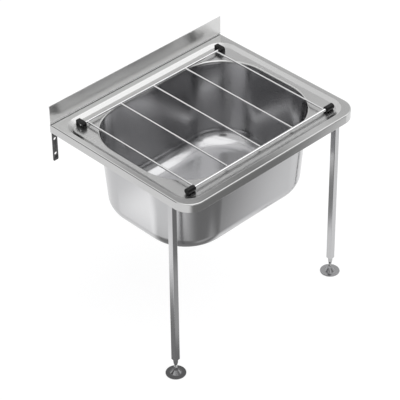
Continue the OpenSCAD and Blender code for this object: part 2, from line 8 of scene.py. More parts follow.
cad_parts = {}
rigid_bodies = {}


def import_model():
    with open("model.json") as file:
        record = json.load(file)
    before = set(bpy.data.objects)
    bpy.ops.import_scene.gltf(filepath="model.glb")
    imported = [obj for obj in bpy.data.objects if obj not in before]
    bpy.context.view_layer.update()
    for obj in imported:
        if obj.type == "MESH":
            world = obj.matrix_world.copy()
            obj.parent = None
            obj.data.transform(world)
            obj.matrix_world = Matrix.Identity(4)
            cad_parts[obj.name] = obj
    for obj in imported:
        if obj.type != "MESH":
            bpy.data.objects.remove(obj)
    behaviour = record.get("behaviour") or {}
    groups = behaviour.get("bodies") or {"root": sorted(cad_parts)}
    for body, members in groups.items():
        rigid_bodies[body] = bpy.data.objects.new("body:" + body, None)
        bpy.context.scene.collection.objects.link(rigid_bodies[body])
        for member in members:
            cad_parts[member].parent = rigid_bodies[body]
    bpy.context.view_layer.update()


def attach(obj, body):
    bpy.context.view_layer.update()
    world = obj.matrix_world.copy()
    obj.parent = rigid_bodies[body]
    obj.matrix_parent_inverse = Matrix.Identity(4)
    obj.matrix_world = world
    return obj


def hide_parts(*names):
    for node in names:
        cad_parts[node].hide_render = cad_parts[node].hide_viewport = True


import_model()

# Camera. It stands about five metres off to the front left, 36 degrees above the horizon, behind a long lens.
# Its shift moves the picture up in the frame.
azimuth, elevation, roll = math.radians(-43.99), math.radians(35.98), math.radians(-0.70)
aside, upward, away = 0.16291, -0.21386, 4.99646
back = Vector((math.sin(azimuth) * math.cos(elevation), -math.cos(azimuth) * math.cos(elevation),
               math.sin(elevation)))
level_right = Vector((math.cos(azimuth), math.sin(azimuth), 0))
level_up = back.cross(level_right)
right = math.cos(roll) * level_right + math.sin(roll) * level_up
up = -math.sin(roll) * level_right + math.cos(roll) * level_up
rim_at_wall = Vector((0, 0.25, 0.565))
stand = rim_at_wall + aside * right + upward * up + away * back
bpy.ops.object.camera_add()
camera = bpy.context.object
camera.name = "camera"
camera.matrix_world = Matrix.Translation(stand) @ Matrix((right, up, back)).transposed().to_4x4()
camera.data.sensor_width = 36
camera.data.lens = 173.59
camera.data.shift_x = -0.0013
camera.data.shift_y = -0.1003
bpy.context.scene.camera = camera
bpy.context.scene.view_settings.view_transform = "Standard"


# Studio. The camera and the metal see a white room, while a grey one lights what is matt. A pale floor keeps
# the sink's shadow, and a wide soft lamp hangs overhead. Grey and white cards with soft edges stand, hang and
# lie where the steel mirrors them, and nothing else sees them.
def show_or_light(tree, lighting, showing, output):
    """Lets one shader light what is matt, while the camera, polished metal and glass see the other."""
    add, link = tree.nodes.new, tree.links.new
    path, choice = add("ShaderNodeLightPath"), add("ShaderNodeMixShader")
    camera_or_gloss, seen = add("ShaderNodeMath"), add("ShaderNodeMath")
    camera_or_gloss.operation = seen.operation = "MAXIMUM"
    link(path.outputs["Is Camera Ray"], camera_or_gloss.inputs[0])
    link(path.outputs["Is Glossy Ray"], camera_or_gloss.inputs[1])
    link(camera_or_gloss.outputs[0], seen.inputs[0])
    link(path.outputs["Is Transmission Ray"], seen.inputs[1])
    link(seen.outputs[0], choice.inputs["Fac"])
    link(lighting.outputs[0], choice.inputs[1])
    link(showing.outputs[0], choice.inputs[2])
    link(choice.outputs[0], output.inputs["Surface"])


world = bpy.data.worlds.new("studio")
bpy.context.scene.world = world
world.use_nodes = True
room = world.node_tree
room.nodes.clear()
white_room, grey_room = room.nodes.new("ShaderNodeBackground"), room.nodes.new("ShaderNodeBackground")
white_room.inputs["Color"].default_value = (1, 1, 1, 1)
grey_room.inputs["Color"].default_value = (0.62, 0.62, 0.63, 1)
show_or_light(room, grey_room, white_room, room.nodes.new("ShaderNodeOutputWorld"))

# the floor lies a little below the feet, so that their faces don't meet
floor_size, floor_z = 12, -0.0002
bpy.ops.mesh.primitive_plane_add(size=floor_size, location=(0, 0, floor_z))
floor = bpy.context.object
floor.name = "floor"
floor_paint = bpy.data.materials.new("floor_paint")
floor_paint.use_nodes = True
paint = floor_paint.node_tree
paint.nodes.clear()
matt, shaded = paint.nodes.new("ShaderNodeBsdfDiffuse"), paint.nodes.new("ShaderNodeBsdfDiffuse")
matt.inputs["Color"].default_value = (0.80, 0.80, 0.80, 1)
shaded.inputs["Color"].default_value = (0.30, 0.30, 0.30, 1)
shine, lifted = paint.nodes.new("ShaderNodeEmission"), paint.nodes.new("ShaderNodeAddShader")
shine.inputs["Color"].default_value = (1, 1, 1, 1)
shine.inputs["Strength"].default_value = 0.82
paint.links.new(shaded.outputs[0], lifted.inputs[0])
paint.links.new(shine.outputs[0], lifted.inputs[1])
show_or_light(paint, matt, lifted, paint.nodes.new("ShaderNodeOutputMaterial"))
floor.data.materials.append(floor_paint)

bpy.ops.object.light_add(type="AREA", location=(1.0, -1.1, 2.7))
lamp = bpy.context.object
lamp.name = "lamp_overhead"
lamp.data.shape = "RECTANGLE"
lamp.data.size, lamp.data.size_y = 4.4, 3.0
lamp.data.energy = 33


def card(name, place, facing, size, tone, soft, turn=0):
    """A card that only polished surfaces see. It fades out over the soft part of its half width."""
    bpy.ops.mesh.primitive_plane_add(size=2, location=place)
    piece = bpy.context.object
    piece.name = name
    piece.scale = (size[0] / 2, size[1] / 2, 1)
    faced = Vector(facing).to_track_quat("Z", "Y")
    piece.rotation_euler = (faced @ Quaternion((0, 0, 1), math.radians(turn))).to_euler()
    piece.visible_camera = piece.visible_shadow = piece.visible_diffuse = False
    paper = bpy.data.materials.new(name)
    paper.use_nodes = True
    tree = paper.node_tree
    tree.nodes.clear()
    add, link = tree.nodes.new, tree.links.new
    coords, apart = add("ShaderNodeTexCoord"), add("ShaderNodeSeparateXYZ")
    link(coords.outputs["Object"], apart.inputs[0])
    covers = add("ShaderNodeMath")
    covers.operation = "MULTIPLY"
    for number, axis in enumerate(("X", "Y")):
        off_centre, fade = add("ShaderNodeMath"), add("ShaderNodeMapRange")
        off_centre.operation = "ABSOLUTE"
        fade.interpolation_type = "SMOOTHSTEP"
        fade.inputs["From Min"].default_value = 1
        fade.inputs["From Max"].default_value = 1 - soft
        link(apart.outputs[axis], off_centre.inputs[0])
        link(off_centre.outputs[0], fade.inputs["Value"])
        link(fade.outputs[0], covers.inputs[number])
    grey, clear = add("ShaderNodeEmission"), add("ShaderNodeBsdfTransparent")
    grey.inputs["Color"].default_value = (tone, tone, tone, 1)
    choice, output = add("ShaderNodeMixShader"), add("ShaderNodeOutputMaterial")
    link(covers.outputs[0], choice.inputs["Fac"])
    link(clear.outputs[0], choice.inputs[1])
    link(grey.outputs[0], choice.inputs[2])
    link(choice.outputs[0], output.inputs["Surface"])
    piece.data.materials.append(paper)


face_up, face_down = (0, 0, 1), (0, 0, -1)
# on the floor: before the sink, under the bowl, beside the left leg and before it
card("card_front_low", (0.26, -1.07, 0.004), face_up, (2.3, 1.3), tone=0.25, soft=0.35, turn=-33)
# the two dark cards under the bowl are a painted shadow of the sink on the floor, which only the steel
# mirrors
card("card_under", (-0.25, -0.12, 0.003), face_up, (0.70, 0.60), tone=0.30, soft=0.4)
card("card_under_right", (0.07, 0.09, 0.006), face_up, (0.30, 0.34), tone=0.35, soft=0.5)
card("card_beside", (-0.56, 0.28, 0.005), face_up, (0.26, 0.36), tone=1.6, soft=0.7)
card("card_leg_front", (-0.09, -0.39, 0.007), face_up, (0.44, 0.18), tone=0.52, soft=0.5, turn=-46)
# overhead: for the front rail, for the worktop's left side and corner, and for its right side
card("card_over_front", (1.1, -1.42, 1.6), face_down, (1.3, 0.75), tone=0.3, soft=0.3)
card("card_high", (1.63, 1.58, 2.45), face_down, (0.98, 0.80), tone=0.12, soft=0.6)
card("card_high_left", (1.316, 1.648, 2.394), face_down, (0.66, 0.84), tone=0.45, soft=0.6)
card("card_right", (0.965, 0.646, 1.2), face_down, (0.2, 0.9), tone=0.68, soft=0.2)
# upright or leaning: far in front, to the left behind, above it, and about the camera
card("card_front_far", (0.6, -3.0, 1.2), (0, 1, 0), (4.6, 2.4), tone=0.25, soft=0.2)
card("card_left_back", (-1.5, 1.1, 0.80), (1, 0, 0), (1.7, 1.50), tone=0.04, soft=0.2)
card("card_white", (-0.48, 1.0, 1.88), (0.48, -1.0, -1.32), (1.9, 0.7), tone=1.25, soft=0.4)
card("card_camera", (-1.405, -1.455, 1.97), (1.405, 1.455, -1.52), (1.0, 1.0), tone=0.1, soft=0.4)

# Worktop. One sheet of 1.2 mm stainless steel, with the recess and the rolled edge of the opening pressed
# into it, its apron folded down with a closed hem and its splashback folded up. It is polished, and left
# duller on the splashback and in the recess.
sheet = 0.0012
rim_z = 0.565
side_x, wall_y = 0.300, 0.250
front_corner = 0.050
fold = 0.003
apron_h, hem_h = 0.025, 0.008
recess_z = 0.559
recess_run = 0.014
recess_half = (0.272, 0.216)
recess_corner = 0.036
foot_r = 0.002
slope_angle = 25.04
lip_r, lip_h = 0.005, 0.009
opening_y = 0.0035
opening_half = (0.257, 0.192)
opening_corner = 0.136
corner_steps, fold_steps, slope_steps = 28, 8, 6
# how close two places are to count as one, in metres
near, same = 1e-5, 1e-6


def start_piece(name):
    """An empty mesh at the origin, open in edit mode."""
    bpy.ops.mesh.primitive_plane_add(size=0.01)
    piece = bpy.context.object
    piece.name = name
    piece.data.name = name
    bpy.ops.object.mode_set(mode="EDIT")
    bpy.ops.mesh.delete(type="VERT")
    return piece


def weld():
    """Makes one of the points that lie in one place."""
    bpy.ops.mesh.select_all(action="SELECT")
    bpy.ops.mesh.remove_doubles(threshold=0.000002)


def end_piece(angle=35, weighted=True):
    """Finishes a mesh and closes edit mode. Edges sharper than the angle, in degrees, stay sharp."""
    weld()
    bpy.ops.mesh.normals_make_consistent(inside=False)
    bpy.ops.mesh.select_all(action="DESELECT")
    bpy.ops.object.mode_set(mode="OBJECT")
    bpy.ops.object.shade_smooth_by_angle(angle=math.radians(angle))
    if weighted:
        bpy.ops.object.modifier_add(type="WEIGHTED_NORMAL")
        bpy.context.object.modifiers[-1].keep_sharp = True
        bpy.ops.object.modifier_apply(modifier=bpy.context.object.modifiers[-1].name)


def pick(kind, test):
    """Selects the verts, edges or faces that pass a test."""
    bpy.ops.mesh.select_all(action="DESELECT")
    bpy.ops.mesh.select_mode(type=kind[:-1].upper())
    mesh = bmesh.from_edit_mesh(bpy.context.object.data)
    for part in getattr(mesh, kind):
        if test(part):
            part.select = True
    mesh.select_flush_mode()
    bmesh.update_edit_mesh(bpy.context.object.data)


def plate(y, z, half, corners, steps):
    """Adds a flat plate with rounded corners: corners gives their radius at the front and at the rear."""
    bpy.ops.mesh.select_mode(type="VERT")
    bpy.ops.mesh.primitive_plane_add(size=2, location=(0, y, z))
    bpy.ops.transform.resize(value=(half[0], half[1], 1), center_override=(0, y, z))
    for radius, end in zip(corners, (-1, 1)):
        if radius:
            corner_y = y + end * half[1]
            pick("verts", lambda v: len(v.link_edges) == 2
                 and (v.co - Vector((math.copysign(half[0], v.co.x), corner_y, z))).length < near)
            bpy.ops.mesh.bevel(offset=radius, offset_type="OFFSET", segments=steps, profile=0.5,
                               affect="VERTICES")
    pick("faces", lambda f: len(f.verts) > 8 and abs(f.calc_center_median().z - z) < same
         and all(e.is_boundary for e in f.edges))


def press(profile, under=False):
    """Carries the picked plate's outline inward and up or down through a profile, and opens it there."""
    if under:
        bpy.ops.mesh.flip_normals()
    for (u0, z0), (u1, z1) in zip(profile, profile[1:]):
        bpy.ops.mesh.inset(thickness=max(u1 - u0, 0), depth=z0 - z1 if under else z1 - z0,
                           use_even_offset=True)
    bpy.ops.mesh.delete(type="FACE")


def bend(u, z, r, start, stop, steps):
    """Points on a bend of a profile: u runs inward, z upward, angles in degrees."""
    turn = [math.radians(start + (stop - start) * i / steps) for i in range(steps + 1)]
    return [(u + r * math.cos(a), z + r * math.sin(a)) for a in turn]


def flat_at(z):
    """Tells the open edges that lie at one height."""
    return lambda e: e.is_boundary and all(abs(v.co.z - z) < same for v in e.verts)


def join_loops(test):
    """Closes the gap between the two loops of edges that pass a test."""
    pick("edges", test)
    bpy.ops.mesh.bridge_edge_loops()


worktop = start_piece("worktop_sheet")
half, corners = (side_x, wall_y), (front_corner, 0)
hem_r = sheet
low_z, hem_z, fold_z = rim_z - apron_h + hem_r, rim_z - apron_h + hem_h, rim_z - fold
# outer face of the apron, the fold and the start of the flat rim
plate(0, low_z, half, corners, corner_steps)
press([(0, low_z), (0, fold_z)] + bend(fold, fold_z, fold, 180, 90, fold_steps)[1:])
# hem, carried under the apron and up behind it
plate(0, low_z, half, corners, corner_steps)
press(bend(hem_r, low_z, hem_r, 180, 360, fold_steps) + [(2 * hem_r, hem_z)], under=True)
# underside of the apron and the fold
plate(0, hem_z, (side_x - sheet, wall_y - sheet), (front_corner - sheet, 0), corner_steps)
inner_fold = bend(fold, fold_z, fold - sheet, 180, 90, fold_steps)
press([(sheet, hem_z), (sheet, fold_z)] + inner_fold[1:], under=True)
# recess, above and below
brow = (recess_half[0] + recess_run, recess_half[1] + recess_run)
brow_corner = recess_corner + recess_run
brow_z, foot_z = rim_z - foot_r - sheet, recess_z + foot_r
for under in (False, True):
    brow_r, low_r = (foot_r, foot_r + sheet) if under else (foot_r + sheet, foot_r)
    plate(0, rim_z - sheet if under else rim_z, brow, (brow_corner, brow_corner), corner_steps)
    upper = bend(recess_run, brow_z, brow_r, 90, 90 + slope_angle, slope_steps)
    lower = bend(0, foot_z, low_r, slope_angle - 90, -90, slope_steps)
    press([(recess_run - u, z) for u, z in upper + lower], under)
# rolled edge of the opening, above and below
lip_half = (opening_half[0] + lip_r, opening_half[1] + lip_r)
lip_corners = (opening_corner + lip_r,) * 2
for under in (False, True):
    r = lip_r - sheet if under else lip_r
    plate(opening_y, recess_z - sheet if under else recess_z, lip_half, lip_corners, corner_steps)
    roll_over = bend(lip_r, recess_z - lip_r, r, 90, 180, fold_steps)
    press([(lip_r - u, z) for u, z in roll_over] + [(r, recess_z - lip_h)], under)
weld()
for flat_z in (rim_z, rim_z - sheet, recess_z, recess_z - sheet):
    pick("edges", flat_at(flat_z))
    bpy.ops.mesh.fill()
join_loops(flat_at(recess_z - lip_h))
join_loops(flat_at(hem_z))
# the apron stops at the wall
fold_at_wall = wall_y - 1.01 * fold
pick("faces", lambda f: f.calc_center_median().y > fold_at_wall and abs(f.calc_center_median().x) < 0.1)
bpy.ops.mesh.delete(type="FACE")
pick("verts", lambda v: v.co.y > fold_at_wall)
bpy.ops.transform.resize(value=(1, 0, 1), center_override=(0, wall_y, 0))
pick("edges", lambda e: e.is_boundary)
bpy.ops.mesh.edge_face_add()
end_piece()

# splashback, its hem behind the top edge and a small bend at its foot
splash_h, splash_hem, cove = 0.055, 0.008, 0.0012
splash_top, bend_z = rim_z + splash_h, rim_z + cove
face_y = wall_y - 2 * sheet
splash = start_piece("splashback_sheet")
splash_centre = (0, face_y + sheet, splash_top - splash_hem / 2)
bpy.ops.mesh.primitive_cube_add(size=2, location=splash_centre)
bpy.ops.transform.resize(value=(side_x, sheet, splash_hem / 2), center_override=splash_centre)
pick("edges", lambda e: all(v.co.z > splash_top - same for v in e.verts)
     and abs(e.verts[0].co.y - e.verts[1].co.y) < same)
bpy.ops.mesh.bevel(offset=sheet * 0.98, segments=8, profile=0.5, affect="EDGES")
bpy.ops.mesh.select_all(action="SELECT")
bpy.ops.mesh.bisect(plane_co=(0, face_y + sheet, 0), plane_no=(0, 1, 0))
pick("faces", lambda f: f.normal.z < -0.9 and f.calc_center_median().y < face_y + sheet)
bpy.ops.mesh.extrude_region_move(TRANSFORM_OT_translate={"value": (0, 0, bend_z - splash_top + splash_hem)})
bpy.ops.mesh.spin(steps=10, angle=math.radians(-90), center=(0, face_y - cove, bend_z), axis=(1, 0, 0))
end_piece()
bpy.ops.object.select_all(action="DESELECT")
splash.select_set(True)
worktop.select_set(True)
bpy.context.view_layer.objects.active = worktop
bpy.ops.object.join()


def steel_finish():
    """Shader group: the fine grain left by polishing belts, and the soft clouds left by wiping and use."""
    group = bpy.data.node_groups.new("steel_finish", "ShaderNodeTree")
    for socket, way, kind in (("Grain Scale", "INPUT", "Vector"), ("Cloud Scale", "INPUT", "Float"),
                              ("Grain", "OUTPUT", "Float"), ("Cloud", "OUTPUT", "Float")):
        group.interface.new_socket(socket, in_out=way, socket_type="NodeSocket" + kind)
    add, link = group.nodes.new, group.links.new
    sockets, outlet = add("NodeGroupInput"), add("NodeGroupOutput")
    coords, stretch = add("ShaderNodeTexCoord"), add("ShaderNodeVectorMath")
    stretch.operation = "MULTIPLY"
    grain, cloud = add("ShaderNodeTexNoise"), add("ShaderNodeTexNoise")
    grain.inputs["Scale"].default_value = 1
    grain.inputs["Detail"].default_value = 4
    grain.inputs["Roughness"].default_value = 0.65
    cloud.inputs["Detail"].default_value = 3
    link(coords.outputs["Object"], stretch.inputs[0])
    link(sockets.outputs["Grain Scale"], stretch.inputs[1])
    link(stretch.outputs[0], grain.inputs["Vector"])
    link(coords.outputs["Object"], cloud.inputs["Vector"])
    link(sockets.outputs["Cloud Scale"], cloud.inputs["Scale"])
    link(grain.outputs["Fac"], outlet.inputs["Grain"])
    link(cloud.outputs["Fac"], outlet.inputs["Cloud"])
    return group


def finished(name, group, smooth, rough, tones, bump, depth):
    """A material under a finish group. The group's first output, a fine texture, dents the surface, and its
    second, a soft one, mixes the two tones."""
    material = bpy.data.materials.new(name)
    material.use_nodes = True
    tree = material.node_tree
    add, link = tree.nodes.new, tree.links.new
    body, finish = tree.nodes["Principled BSDF"], add("ShaderNodeGroup")
    spread, colour, dents = add("ShaderNodeMapRange"), add("ShaderNodeMix"), add("ShaderNodeBump")
    finish.name, spread.name, colour.name = "finish", "roughness", "tint"
    finish.node_tree = group
    spread.inputs["To Min"].default_value = smooth
    spread.inputs["To Max"].default_value = rough
    colour.data_type = "RGBA"
    colour.inputs["A"].default_value = (*tones[0], 1)
    colour.inputs["B"].default_value = (*tones[1], 1)
    dents.inputs["Strength"].default_value = bump
    dents.inputs["Distance"].default_value = depth
    link(finish.outputs[0], dents.inputs["Height"])
    link(finish.outputs[1], colour.inputs["Factor"])
    link(spread.outputs[0], body.inputs["Roughness"])
    link(colour.outputs["Result"], body.inputs["Base Color"])
    link(dents.outputs["Normal"], body.inputs["Normal"])
    return material


def steel(name, tint, smooth, rough, grain, cloud, bump):
    """Stainless steel. Grain and clouds vary its roughness, and clouds darken its tint."""
    darkened = [part * share for part, share in zip(tint, (0.94, 0.94, 0.95))]
    group = bpy.data.node_groups.get("steel_finish") or steel_finish()
    material = finished(name, group, smooth, rough, (darkened, tint), bump, 0.0002)
    nodes, link = material.node_tree.nodes, material.node_tree.links.new
    nodes["Principled BSDF"].inputs["Metallic"].default_value = 1
    finish, spread = nodes["finish"], nodes["roughness"]
    finish.inputs["Grain Scale"].default_value = grain
    finish.inputs["Cloud Scale"].default_value = cloud
    spread.inputs["From Min"].default_value = 0.25
    spread.inputs["From Max"].default_value = 0.75
    grain_share, cloud_share = nodes.new("ShaderNodeMath"), nodes.new("ShaderNodeMath")
    grain_share.operation, cloud_share.operation = "MULTIPLY_ADD", "MULTIPLY"
    grain_share.inputs[1].default_value = 0.6
    cloud_share.inputs[1].default_value = 0.4
    link(finish.outputs["Cloud"], cloud_share.inputs[0])
    link(finish.outputs["Grain"], grain_share.inputs[0])
    link(cloud_share.outputs[0], grain_share.inputs[2])
    link(grain_share.outputs[0], spread.inputs["Value"])
    return material


def hand_in(piece, nodes, body, material):
    """Puts the material on a finished piece, hides the CAD nodes it stands for and fixes it to its body."""
    piece.data.materials.append(material)
    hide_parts(*nodes)
    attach(piece, body)


polish = steel("worktop_steel", (0.56, 0.56, 0.555), smooth=0.12, rough=0.18, grain=(40, 900, 900), cloud=9,
               bump=0.008)
# how much rougher the splashback and the recess are than the rim
splash_dull, recess_dull = 0.16, 0.11
# the splashback's paler tint is painted light: the same steel is made brighter on the upright face
splash_painted_light_tint = (0.68, 0.68, 0.675, 1)
nodes = polish.node_tree.nodes
metal, tint, spread = nodes["Principled BSDF"], nodes["tint"], nodes["roughness"]
add, link = nodes.new, polish.node_tree.links.new
place, tilt = add("ShaderNodeSeparateXYZ"), add("ShaderNodeSeparateXYZ")
link(add("ShaderNodeTexCoord").outputs["Object"], place.inputs[0])
link(add("ShaderNodeNewGeometry").outputs["Normal"], tilt.inputs[0])
on_splash, below_rim = add("ShaderNodeMapRange"), add("ShaderNodeMapRange")
on_splash.inputs["From Min"].default_value = rim_z + 0.002
on_splash.inputs["From Max"].default_value = rim_z + 0.006
below_rim.inputs["From Min"].default_value = rim_z - 0.0005
below_rim.inputs["From Max"].default_value = rim_z - 0.0015
link(place.outputs["Z"], on_splash.inputs["Value"])
link(place.outputs["Z"], below_rim.inputs["Value"])
# below the rim only the recess faces up, because the apron stands upright
faces_up, in_recess = add("ShaderNodeMath"), add("ShaderNodeMath")
faces_up.operation, in_recess.operation = "GREATER_THAN", "MULTIPLY"
faces_up.inputs[1].default_value = 0.6
link(tilt.outputs["Z"], faces_up.inputs[0])
link(below_rim.outputs[0], in_recess.inputs[0])
link(faces_up.outputs[0], in_recess.inputs[1])
duller_splash, duller_recess = add("ShaderNodeMath"), add("ShaderNodeMath")
duller_splash.operation = duller_recess.operation = "MULTIPLY_ADD"
duller_splash.inputs[1].default_value = splash_dull
duller_recess.inputs[1].default_value = recess_dull
link(on_splash.outputs[0], duller_splash.inputs[0])
link(spread.outputs[0], duller_splash.inputs[2])
link(in_recess.outputs[0], duller_recess.inputs[0])
link(duller_splash.outputs[0], duller_recess.inputs[2])
link(duller_recess.outputs[0], metal.inputs["Roughness"])
# painted light: the tint turns paler on the splashback
splash_painted_light = add("ShaderNodeMix")
splash_painted_light.data_type = "RGBA"
splash_painted_light.inputs["B"].default_value = splash_painted_light_tint
link(on_splash.outputs[0], splash_painted_light.inputs["Factor"])
link(tint.outputs["Result"], splash_painted_light.inputs["A"])
link(splash_painted_light.outputs["Result"], metal.inputs["Base Color"])
hand_in(worktop, ["worktop"], "sink", polish)

# Bowl. Deep drawn from the same sheet, with leaning walls and a wide fillet, and welded under the opening.
# Its inside is satin polished and the weld is ground away.
bowl_top = recess_z - lip_h
bowl_low = 0.315
draft = 4.4
fillet = 0.048
bowl_steps, fillet_steps, seat_steps = 36, 24, 96
lean = math.cos(math.radians(draft))
fillet_z = bowl_low + fillet + sheet
fillet_u = (bowl_top - fillet_z) * math.tan(math.radians(draft)) + fillet / lean
seat_r, seat_floor_r, hole_r, seat_depth = 0.044, 0.0372, 0.027, 0.004
seat_brow, seat_brow_drop = 0.0008, 0.0003
bowl = start_piece("bowl_pressing")
for under in (False, True):
    out = sheet / lean if under else 0
    r = fillet + sheet if under else fillet
    z = bowl_low if under else bowl_low + sheet
    plate(opening_y, bowl_top, (opening_half[0] + out, opening_half[1] + out), (opening_corner + out,) * 2,
          bowl_steps)
    turn = [(fillet_u - u, turn_z) for u, turn_z in bend(0, fillet_z, r, -draft, -90, fillet_steps)]
    press([(-out, bowl_top)] + turn, under)
    bpy.ops.mesh.primitive_circle_add(vertices=seat_steps, radius=seat_r, fill_type="NGON",
                                      location=(0, opening_y, z))
    press([(0, z), (seat_brow, z - seat_brow_drop), (seat_r - seat_floor_r, z - seat_depth),
           (seat_r - hole_r, z - seat_depth)], under)
    pick("edges", flat_at(z))
    bpy.ops.mesh.fill()
join_loops(flat_at(bowl_top))
join_loops(lambda e: e.is_boundary)
end_piece()
satin = steel("bowl_steel", (0.50, 0.50, 0.505), smooth=0.14, rough=0.22, grain=(120, 160, 700), cloud=7,
              bump=0.06)
hand_in(bowl, ["bowl"], "sink", satin)

# Waste. A steel flange with a slotted strainer is drawn down by one screw onto a black plastic cup, with a
# rubber ring above the bowl's seat and another below it. The cup's tail is threaded for the trap.
waste_face_z = bowl_low + sheet - seat_depth
flange_r, flange_t = 0.036, 0.0015
flange_z = waste_face_z + 2 * flange_t
neck_r, neck_h = 0.025, 0.009
screw_r = 0.003
screw_hole_r = screw_r + 0.0002
round_steps, fine_steps = 64, 32
slot_x, slot_size, slot_end_r, slot_count = 0.0133, (0.012, 0.005, 0.01), 0.0024, 8


def turned(points, x, y, steps, closed=True):
    """Turns a profile of radii and heights about an upright axis. A closed one ends where it began."""
    bpy.ops.mesh.select_mode(type="EDGE")
    r, z = points[0]
    bpy.ops.mesh.primitive_circle_add(vertices=steps, radius=r, location=(x, y, z),
                                      fill_type="NOTHING" if closed else "NGON")
    for r_next, z_next in points[1:]:
        bpy.ops.mesh.extrude_edges_move()
        bpy.ops.transform.resize(value=(r_next / r, r_next / r, 1), center_override=(x, y, z))
        bpy.ops.transform.translate(value=(0, 0, z_next - z))
        r, z = r_next, z_next
    if not closed:
        bpy.ops.mesh.edge_face_add()


def cut_away(piece, cutter):
    """Finishes the cutter, takes its form out of the piece and puts it away."""
    end_piece(30, weighted=False)
    bpy.context.view_layer.objects.active = piece
    bpy.ops.object.modifier_add(type="BOOLEAN")
    knife = piece.modifiers[-1]
    knife.operation = "DIFFERENCE"
    knife.object = cutter
    knife.solver = "EXACT"
    bpy.ops.object.modifier_apply(modifier=knife.name)
    bpy.ops.object.select_all(action="DESELECT")
    cutter.select_set(True)
    bpy.ops.object.delete()


def block(centre, size):
    """Adds a box of that size about its centre."""
    bpy.ops.mesh.primitive_cube_add(size=1, location=centre)
    bpy.ops.transform.resize(value=size, center_override=centre)


def repeat_around(count):
    """Repeats the selected points all round the waste's axis."""
    for _ in range(count - 1):
        bpy.ops.mesh.duplicate_move()
        bpy.ops.transform.rotate(value=math.radians(360 / count), orient_axis="Z",
                                 center_override=(0, opening_y, 0))


def upright(e):
    """Tells the edges that run up more than a millimetre."""
    return abs(e.verts[0].co.z - e.verts[1].co.z) > 0.001


def round_off(radius, steps):
    """Rounds the picked edges."""
    bpy.ops.mesh.bevel(offset=radius, segments=steps, profile=0.5, affect="EDGES")


strainer_z = flange_z - neck_h
strainer_top = strainer_z + flange_t
rim_top, rim_low = flange_z - flange_t / 3, flange_z - flange_t
neck_in_r = neck_r - flange_t
flange = start_piece("waste_flange_turned")
outside = [(screw_hole_r, strainer_z), (neck_r - 0.0004, strainer_z), (neck_r, strainer_z + 0.0004),
           (neck_r, rim_low), (flange_r - 0.0002, rim_low), (flange_r, flange_z - flange_t * 0.8),
           (flange_r - 0.0006, flange_z - flange_t * 0.3), (flange_r - 0.0015, flange_z)]
inside = [(flange_r - 0.003, flange_z), (neck_r + 0.002, rim_top), (neck_r + 0.0004, rim_top - 0.0002),
          (neck_in_r + 0.0003, rim_low), (neck_in_r, rim_low - 0.0008), (neck_in_r, strainer_top + 0.0006),
          (neck_in_r - 0.0006, strainer_top), (screw_hole_r, strainer_top), (screw_hole_r, strainer_z)]
turned(outside + inside, 0, opening_y, round_steps)
end_piece(30)
slots = start_piece("slots")
block((slot_x, opening_y, strainer_z), slot_size)
pick("edges", upright)
round_off(slot_end_r, 5)
bpy.ops.mesh.select_all(action="SELECT")
repeat_around(slot_count)
cut_away(flange, slots)
bright = steel("waste_steel", (0.52, 0.52, 0.52), smooth=0.10, rough=0.2, grain=(400, 400, 400), cloud=40,
               bump=0.02)
hand_in(flange, ["waste_flange"], "sink", bright)


def moulded_finish():
    """Shader group: the faint orange peel and the slight bloom of moulded rubber and plastic."""
    group = bpy.data.node_groups.new("moulded_finish", "ShaderNodeTree")
    for socket, way in (("Peel Scale", "INPUT"), ("Peel", "OUTPUT"), ("Bloom", "OUTPUT")):
        group.interface.new_socket(socket, in_out=way, socket_type="NodeSocketFloat")
    add, link = group.nodes.new, group.links.new
    sockets, outlet, coords = add("NodeGroupInput"), add("NodeGroupOutput"), add("ShaderNodeTexCoord")
    peel, bloom = add("ShaderNodeTexNoise"), add("ShaderNodeTexNoise")
    bloom.inputs["Scale"].default_value = 90
    link(coords.outputs["Object"], peel.inputs["Vector"])
    link(coords.outputs["Object"], bloom.inputs["Vector"])
    link(sockets.outputs["Peel Scale"], peel.inputs["Scale"])
    link(peel.outputs["Fac"], outlet.inputs["Peel"])
    link(bloom.outputs["Fac"], outlet.inputs["Bloom"])
    return group


def moulded(name, dark, pale, smooth, rough, peel):
    """Black rubber or plastic, a little paler and duller where its bloom lies."""
    group = bpy.data.node_groups.get("moulded_finish") or moulded_finish()
    material = finished(name, group, smooth, rough, ([dark] * 3, [pale] * 3), 0.15, 0.0001)
    nodes, link = material.node_tree.nodes, material.node_tree.links.new
    nodes["Principled BSDF"].inputs["Specular IOR Level"].default_value = 0.2
    nodes["finish"].inputs["Peel Scale"].default_value = peel
    link(nodes["finish"].outputs["Bloom"], nodes["roughness"].inputs["Value"])
    return material


def seal_ring(name, z, r_out, t, edge):
    """A flat ring about the waste hole with its edges taken off."""
    ring = start_piece(name)
    outside = [(r_out - edge, z), (r_out, z + edge), (r_out, z + t - edge), (r_out - edge, z + t)]
    inside = [(hole_r + edge, z + t), (hole_r, z + t - edge), (hole_r, z + edge), (hole_r + edge, z)]
    turned(inside[-1:] + outside + inside, 0, opening_y, round_steps)
    end_piece(50)
    return ring


top_seal_r, top_seal_t = flange_r - 0.00075, 0.0015
low_seal_r, low_seal_t = 0.0363, 0.003
cup_z = waste_face_z - sheet - low_seal_t
seal_rubber = moulded("waste_seal", dark=0.014, pale=0.028, smooth=0.5, rough=0.7, peel=1500)
top_seal = seal_ring("waste_top_seal_ring", waste_face_z, top_seal_r, top_seal_t, edge=0.0004)
hand_in(top_seal, ["waste_top_seal"], "sink", seal_rubber)
low_seal = seal_ring("waste_low_seal_ring", cup_z, low_seal_r, low_seal_t, edge=0.0006)
hand_in(low_seal, ["waste_low_seal"], "sink", seal_rubber)

